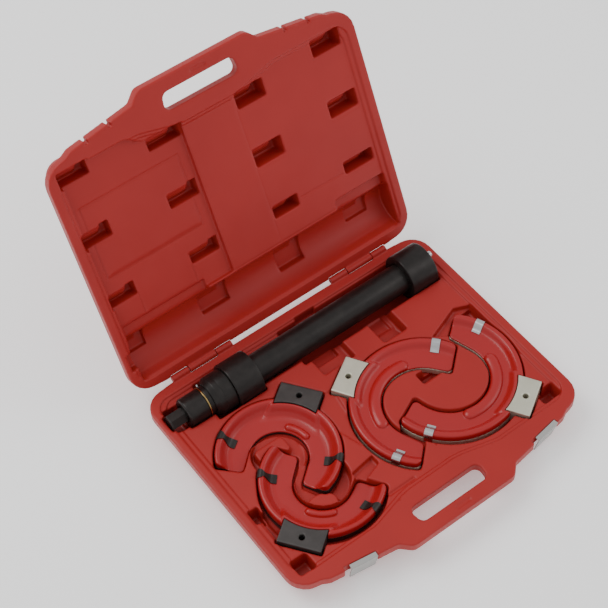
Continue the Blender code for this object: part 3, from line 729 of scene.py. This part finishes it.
def base_field(x, y):
    level, knuckles = shell(x, y, -1)
    recesses = []
    for name, (size, centre, bearing, plus, minus, _) in YOKES.items():
        u, v = local(x, y, centre, bearing)
        outline = yoke_outline(size, plus, minus, 5.0)
        plan = polygon(u, v, outline) - 2.2
        for share in (0.5, 1.0):
            shift = POCKET_SHIFT[name]
            u2, v2 = local(x - shift[0] * share, y - shift[1] * share, centre, bearing)
            plan = np.minimum(plan, polygon(u2, v2, outline) - 1.5)
        far, half = size["R"] - NOTCH_IN + BLOCK[1] + 2.4, BLOCK[0] / 2 + 2.4
        seat = rect(u, v, size["R"] - 30.0, far, -half, half, 2.0)
        recesses.append(rmin(plan, seat, 2.0))
    yokes = recesses[0]
    for other in recesses[1:]:
        yokes = rmin(yokes, other, 2.0)
    wells = [
        (rect(x, y, -235.5, -214.0, TOOL_Y - 19.0, TOOL_Y + 24.0, 3.0), -30.0),
        (rect(x, y, -241.5, -230.0, TOOL_Y - 14.5, TOOL_Y + 14.5, 2.0), END_FLOOR),
        (rect(x, y, -15.0, 41.0, -125.0, -80.0, 3.0), -20.0),
        (rect(x, y, -15.0, 30.0, -102.0, -80.0, 3.0), -27.0),
        (rect(x, y, 87.0, 130.0, -134.0, -80.0, 4.0), -26.0),
        (rect(x, y, 88.0, 122.0, -110.0, -80.0, 3.0), -30.0),
        (rect(x, y, 86.5, 122.0, -224.5, -204.0, 3.0), -32.0),
        (rect(x, y, -234.0, -217.0, -263.0, -238.0, 3.0), -30.0),
        (rect(x, y, -226.0, -205.0, -310.0, -250.0, 4.0), -22.0),
        (rect(x, y, -234.0, -206.0, -361.0, -333.0, 5.0), -30.0),
        (rect(x, y, 198.0, 230.0, -356.0, -332.0, 5.0), -30.0),
        (rect(x, y, 205.0, 229.0, -240.0, -158.0, 4.0), -24.0),
        (rect(x, y, 8.0, 44.0, -29.0, -20.0, 2.0), -16.0),
        (polygon(x, y, [(-84.0, -300.0), (-44.0, -286.0), (-44.0, -270.0), (-84.0, -276.0)]), -14.0),
        (polygon(x, y, RIGHT_FACET), -15.0),
        (polygon(x, y, MIDDLE_FACET), -8.0),
        (rect(x, y, -66.0, -20.0, -337.0, -332.0, 2.0), -8.0),
    ]

    rooms = []
    for label in ("left", "right"):
        u, v = local(x, y, *edge_place(latch_x(label), -1))
        rooms.append(rect(u, v, -20.6, 28.6, -6.4, 12.0))

    sunken = np.minimum(np.hypot(x + 144.0, y + 189.0), np.hypot(x + 120.5, y + 259.0)) - 40.0
    islands = [
        (rect(x, y, -170.0, -124.0, -191.0, -166.0, 6.0), -9.0),
        (np.hypot((x + 146.0) / 1.2, (y + 290.0) * 1.15) - 20.0, -9.0),
    ]

    def field(z):
        out = level(z)
        hollow = channel(x, y, z, -216.0, -170.0, CAP_BED_R)
        hollow = np.minimum(hollow, channel(x, y, z, -175.5, -93.0, COLLAR_BED_R))
        hollow = np.minimum(hollow, channel(x, y, z, -94.0, -25.0, TUBE_BED_R))
        hollow = np.minimum(hollow, channel(x, y, z, -26.0, 226.0, COLLAR_BED_R))
        hollow = rmin(hollow, well(yokes, z, POCKET_FLOOR, 0.03, 3.0), 2.0)
        for plan, floor in wells:
            hollow = rmin(hollow, well(plan, z, floor, 0.06, 3.0), 1.5)
        pit = well(sunken, z, SUNKEN_FLOOR, 0.1, 3.0)
        for plan, top in islands:
            pit = carve(pit, rmax(plan - 0.25 * (top - z), z - top, 1.2), 1.2)
        hollow = rmin(hollow, pit, 1.5)
        out = carve(out, hollow, 2.2)
        for room in rooms:
            out = carve(out, room, 0.8)
        return knuckles(out, z)

    return field


LID_WELLS = [
    (-236, -184, 341, 368), (-100, -44, 324, 348), (41, 92, 318, 346), (175, 226, 331, 359),
    (-236, -186, 243, 270), (-100, -47, 231, 259), (40, 92, 224, 254), (174, 226, 233, 261),
    (-234, -185, 143, 168), (-99, -47, 138, 163), (41, 88, 137, 158), (170, 225, 141, 162),
]
GROOVE_WELLS = [(-233, -195, 50, 84), (-104, -52, 43, 82), (32, 80, 38, 82), (161, 205, 50, 84)]


def smooth_step(t):
    t = np.clip(t, 0.0, 1.0)
    return t * t * (3.0 - 2.0 * t)


def lid_field(x, y):
    level, knuckles = shell(x, y, 1)
    axis = -TOOL_Y
    wells = []
    for x0, x1, y0, y1 in LID_WELLS:
        pit = rect(x, y, x0 + 1.0, x1 - 1.0, y0, y1, 3.5)
        ramp = rect(x, y, x0 - 4.0, x1 - 16.0, y0 + 4.0, y1 + 4.0, 2.0)
        wells.append((pit, ramp, y1))
    panel_top = 348.0 + 18.0 * smooth_step((-x - 100.0) / 35.0)
    left_panel = rmax(rect(x, y, -231.0, -44.0, 98.0, 366.0, 4.0), y - panel_top, 2.0)
    label = rect(x, y, -220.0, -61.0, 186.0, 302.0, 1.0)
    left_bay = rect(x, y, -231.0, -87.0, 24.0, 112.0, 5.0)
    right_bay = rect(x, y, 140.0, 231.0, 24.0, 114.0, 5.0)
    groove_edge = rect(x, y, -231.0, 231.0, 22.0, 98.0, 4.0)
    end_room = rect(x, y, -241.5, -228.0, axis - 14.5, axis + 14.5, 2.0)
    deep = []
    for x0, x1, y0, y1 in GROOVE_WELLS:
        step = rect(x, y, x0 - 4.0, x1 - 14.0, y0 + 4.0, y1 + 4.0, 2.0)
        deep.append((rect(x, y, x0, x1, y0, y1, 3.0), step, y1))
    slits = []
    for middle in SLIT_X:
        for side in (-19.0, 19.0):
            u, v = local(x, y, *edge_place(middle + side, 1))
            slits.append(rect(u, v, -2.4, 2.4, -6.0, 9.0, 0.8))
    line = stroke(x, y, [(40.0, 98.0), (40.0, 340.0)], 1.2)
    lines = stroke(x, y, [(-220.0, 189.0), (-61.0, 189.0)], 1.2)
    ledges = stroke(x, y, [(92.0, 147.5), (165.0, 147.5), (172.0, 141.0), (222.0, 141.0)], 1.6)
    ledges = np.minimum(ledges, stroke(x, y, [(-43.0, 100.0), (138.0, 100.0)], 1.6))
    seam = stroke(x, y, [(-186.0, 112.0), (-186.0, 145.0)], 1.5)
    other_seam = stroke(x, y, [(-98.0, 112.0), (-98.0, 140.0)], 1.5)

    low_marks = np.minimum(np.abs(label) - 1.1, np.minimum(lines, np.minimum(seam, other_seam)))
    marks = [(low_marks, -13.8), (np.minimum(line, ledges), -6.1)]

    def field(z):
        out = level(z)
        hollow = well(left_panel, z, LEFT_PANEL_FLOOR, 0.12, 1.5)
        hollow = rmin(hollow, channel(x, y, z, -231.0, 231.0, LID_GROOVE_R, axis), 1.5)
        hollow = rmin(hollow, well(groove_edge, z, GROOVE_FLOOR, 0.3, 1.5), 1.5)
        hollow = rmin(hollow, well(left_bay, z, BAY_FLOOR, 0.2, 2.5), 1.5)
        hollow = rmin(hollow, well(right_bay, z, BAY_FLOOR, 0.2, 2.5), 1.5)
        hollow = rmin(hollow, well(end_room, z, END_FLOOR, 0.05, 2.0), 1.0)
        for plan, step, top in wells:
            pit = well(plan, z, LID_WELL_FLOOR, 0.10, 3.0)
            slope = (z + 8.0 + (top - y) * 1.1) * 0.67 + 0.9 * np.cos((top - y) * 1.1)
            hollow = rmin(hollow, carve(pit, rmax(step, slope, 0.8), 0.8), 1.2)
        for plan, step, top in deep:
            pit = well(plan, z, GROOVE_WELL_FLOOR, 0.06, 2.5)
            slope = (z + 30.0 + (top - y) * 0.8) * 0.78
            hollow = rmin(hollow, carve(pit, rmax(step, slope, 1.0), 1.0), 1.2)
        out = carve(out, hollow, 1.8)
        for plan, floor in marks:
            out = carve(out, rmax(plan, floor - z, 0.4), 0.4)
        for slit in slits:
            out = carve(out, slit, 0.8)
        vent = np.hypot(x + 148.0, y - 202.0) - 1.0
        out = np.maximum(out, -np.maximum(vent, -12.0 - z))
        return knuckles(out, z)

    return field


def build_case():
    step = 1.25
    solid(
        "tray", base_field, (-250.0, -418.0, -DEPTH), (250.0, 5.4, 5.4), step,
        BASE, CASE_RED, "case", "case_red", ["case_base"],
    )
    solid(
        "cover", lid_field, (-250.0, -5.4, -DEPTH), (250.0, 418.0, 5.4), step,
        LID, CASE_RED, "lid", "case_red", ["case_lid"],
    )
    for side in ("left", "right"):
        low, high = span(f"hinge_pin_{side}")
        profile = [(low, 1.4), (low + 0.6, 2.0), (high - 0.6, 2.0), (high, 1.4)]
        name = f"hinge_rod_{side}"
        turned(name, profile, BASE, BRIGHT, "case", "bright_steel", [f"hinge_pin_{side}"], 32)


LATCH_SECTION = [
    (-5.6, -0.4), (1.9, -0.4), (1.9, -1.2), (-5.0, -35.5), (-6.8, -35.5), (-0.6, -3.6),
    (-1.4, -2.6), (-5.6, -2.6),
]


def latch_field(x, y):
    """A bent plate in the frame of the edge: x along it, y outward, z up."""

    def level(z):
        high = np.full(x.shape, float(z))
        sides = rect(x, high, -20.0, 20.0, -35.5, 2.0, 2.6)
        return rmax(polygon(y, high, LATCH_SECTION), sides, 0.6)

    return level


def build_latches():
    for label in ("left", "right"):
        place = placed(*edge_place(latch_x(label), -1))
        solid(
            f"latch_{label}_moulding", latch_field, (-20.0, -6.9, -35.5), (20.0, 2.0, -0.4), 0.5,
            place, LATCH_GREY, f"latch_{label[0]}", "latch_grey", [f"latch_{label}"],
        )


# ---------------------------------------------------------------- tool


TUBE_R, TUBE_BORE_R, COLLAR_R, COLLAR_BORE_R, SLEEVE_R = 22.7, 17.6, 34.8, 23.0, 30.5


def collar_field(x0, x1):
    """A collar with a flat seat for a yoke's block underneath."""
    middle = (x0 + x1) / 2

    def field(x, y):
        along = np.abs(x - middle) - (x1 - x0) / 2

        def level(z):
            radius = np.hypot(y, z)
            body = rmax(radius - COLLAR_R, along, 1.6)
            body = np.maximum(body, COLLAR_BORE_R - radius)
            seat = np.maximum(np.abs(x - middle) - 12.4, z + COLLAR_R - 9.0)
            return carve(body, seat, 0.6)

        return level

    return field


def tube_field(x0, x1):
    def field(x, y):
        def level(z):
            radius = np.hypot(y, z)
            wall = rmax(radius - TUBE_R, TUBE_BORE_R - radius, 0.5)
            wall = rmax(wall, np.abs(x - (x0 + x1) / 2) - (x1 - x0) / 2, 0.6)
            slot = rect(x, y, -40.0, 211.0, -5.0, 5.0, 0.5)
            return np.maximum(wall, -np.maximum(slot, z))

        return level

    return field


def build_tool():
    x0, x1 = span("main_tube")
    solid(
        "barrel", tube_field(x0, x1), (x0, -TUBE_R, -TUBE_R), (x1, TUBE_R, TUBE_R), 0.8,
        TOOL, BLACK_TURNED, "tool", "black_steel", ["main_tube"], 0.01,
    )
    x0, x1 = span("bearing_cap")
    cap = [
        (x0 + 0.2, 13.2), (x0, 13.6), (x0, 19.3), (x0 + 0.5, 20.3), (x0 + 1.9, 22.0), (x0 + 3.0, 22.3),
        (x1 - 0.5, 22.3), (x1, 21.8), (x1, 18.0), (x0 + 8.0, 18.0), (x0 + 8.0, 13.2),
    ]
    turned(
        "bearing_housing", soften(cap, 0.4, 2),
        TOOL, BLACK_TURNED, "tool", "black_steel", ["bearing_cap"], closed=True,
    )
    x0, x1 = span("brass_ring")
    shim = soften([(x0, 18.0), (x0, 23.2), (x1, 23.2), (x1, 18.0)], 0.3, 2)
    turned("brass_shim", shim, TOOL, BRASS, "tool", "brass", ["brass_ring"], closed=True)
    x0, x1 = span("head_sleeve")
    sleeve = [
        (x0, COLLAR_BORE_R), (x0, 25.2), (x0 + 2.0, 26.4), (x0 + 7.5, SLEEVE_R), (x0 + 15.0, SLEEVE_R),
        (x0 + 15.4, 30.1), (x0 + 15.8, SLEEVE_R), (x1 - 0.4, SLEEVE_R), (x1, 30.1), (x1, COLLAR_BORE_R),
    ]
    turned(
        "head_step", soften(sleeve, 0.5, 3),
        TOOL, BLACK_TURNED, "tool", "black_steel", ["head_sleeve"], closed=True,
    )
    for name, node, body in (
        ("head_ring", "head_collar", "tool"), ("travelling_ring", "carriage_collar", "carriage"),
    ):
        x0, x1 = span(node)
        solid(
            name, collar_field(x0, x1), (x0, -COLLAR_R, -COLLAR_R), (x1, COLLAR_R, COLLAR_R), 0.9,
            TOOL, BLACK_TURNED, body, "black_steel", [node], 0.01,
        )


def dress_rest():
    """The small pieces that keep their CAD shape take a fine material each."""
    for name, material in (
        ("drive_spindle", BLACK_TURNED), ("end_plug", BLACK_TURNED), ("guide_key", BLACK_TURNED),
        ("head_set_screw", BRIGHT), ("carriage_lock_screw", BRIGHT), ("thrust_washer_front", BRIGHT),
        ("thrust_washer_rear", BRIGHT), ("thrust_bearing_cage", BRASS), ("spindle_nut", BRASS),
    ):
        node = frame["nodes"][name]
        node.data.materials.clear()
        node.data.materials.append(material)


# ---------------------------------------------------------------- stage


def build_stage():
    bpy.ops.mesh.primitive_plane_add(size=12.0, location=(0.0, 0.0, -0.0005))
    floor = bpy.context.object
    floor.name = "studio_floor"
    shader = Shader("studio_white")
    tint = shader.mix(shader.range(shader.noise(3.0), 0.0, 0.02), (0.93, 0.93, 0.93), (0.90, 0.90, 0.90))
    shader.set(Base_Color=tint, Roughness=0.9, Emission_Color=(1.0, 1.0, 1.0, 1.0), Emission_Strength=0.36)
    floor.data.materials.append(shader.material)
    world = bpy.data.worlds.new("studio")
    bpy.context.scene.world = world
    world.use_nodes = True
    world.node_tree.nodes["Background"].inputs["Color"].default_value = (1.0, 1.0, 1.0, 1.0)
    world.node_tree.nodes["Background"].inputs["Strength"].default_value = 0.75
    for name, place, size, power, aim in (
        ("key", (-0.9, 1.3, 2.3), 1.6, 34.0, (0.0, 0.1, 0.1)),
        ("fill", (1.8, -1.0, 1.6), 1.6, 12.0, (0.0, 0.0, 0.1)),
    ):
        light = bpy.data.lights.new(name, "AREA")
        light.shape = "SQUARE"
        light.size = size
        light.energy = power
        lamp = bpy.data.objects.new(name, light)
        lamp.location = place
        lamp.rotation_euler = (Vector(aim) - Vector(place)).to_track_quat("-Z", "Y").to_euler()
        bpy.context.scene.collection.objects.link(lamp)


def build_camera():
    """The camera fitted to the photo: its turn and shift, with lengths in units of half a metre."""
    turn_by = Vector((2.3830, -0.8090, 0.2241))
    facing = Matrix.Rotation(turn_by.length, 3, turn_by.normalized())
    unit = 0.5
    shift = Vector((-0.0674, 0.0237, 4.6754))
    spot = -(facing.transposed() @ shift) * unit + HINGE
    camera = bpy.data.cameras.new("camera")
    camera.sensor_width = 36.0
    camera.lens = 94.294
    camera.clip_end = 50.0
    view = bpy.data.objects.new("camera", camera)
    rows = Matrix((facing[0], -facing[1], -facing[2])).transposed().to_4x4()
    view.matrix_world = Matrix.Translation(spot) @ rows
    bpy.context.scene.collection.objects.link(view)
    bpy.context.scene.camera = view


build_case()
build_latches()
build_tool()
build_yokes()
dress_rest()
build_stage()
build_camera()
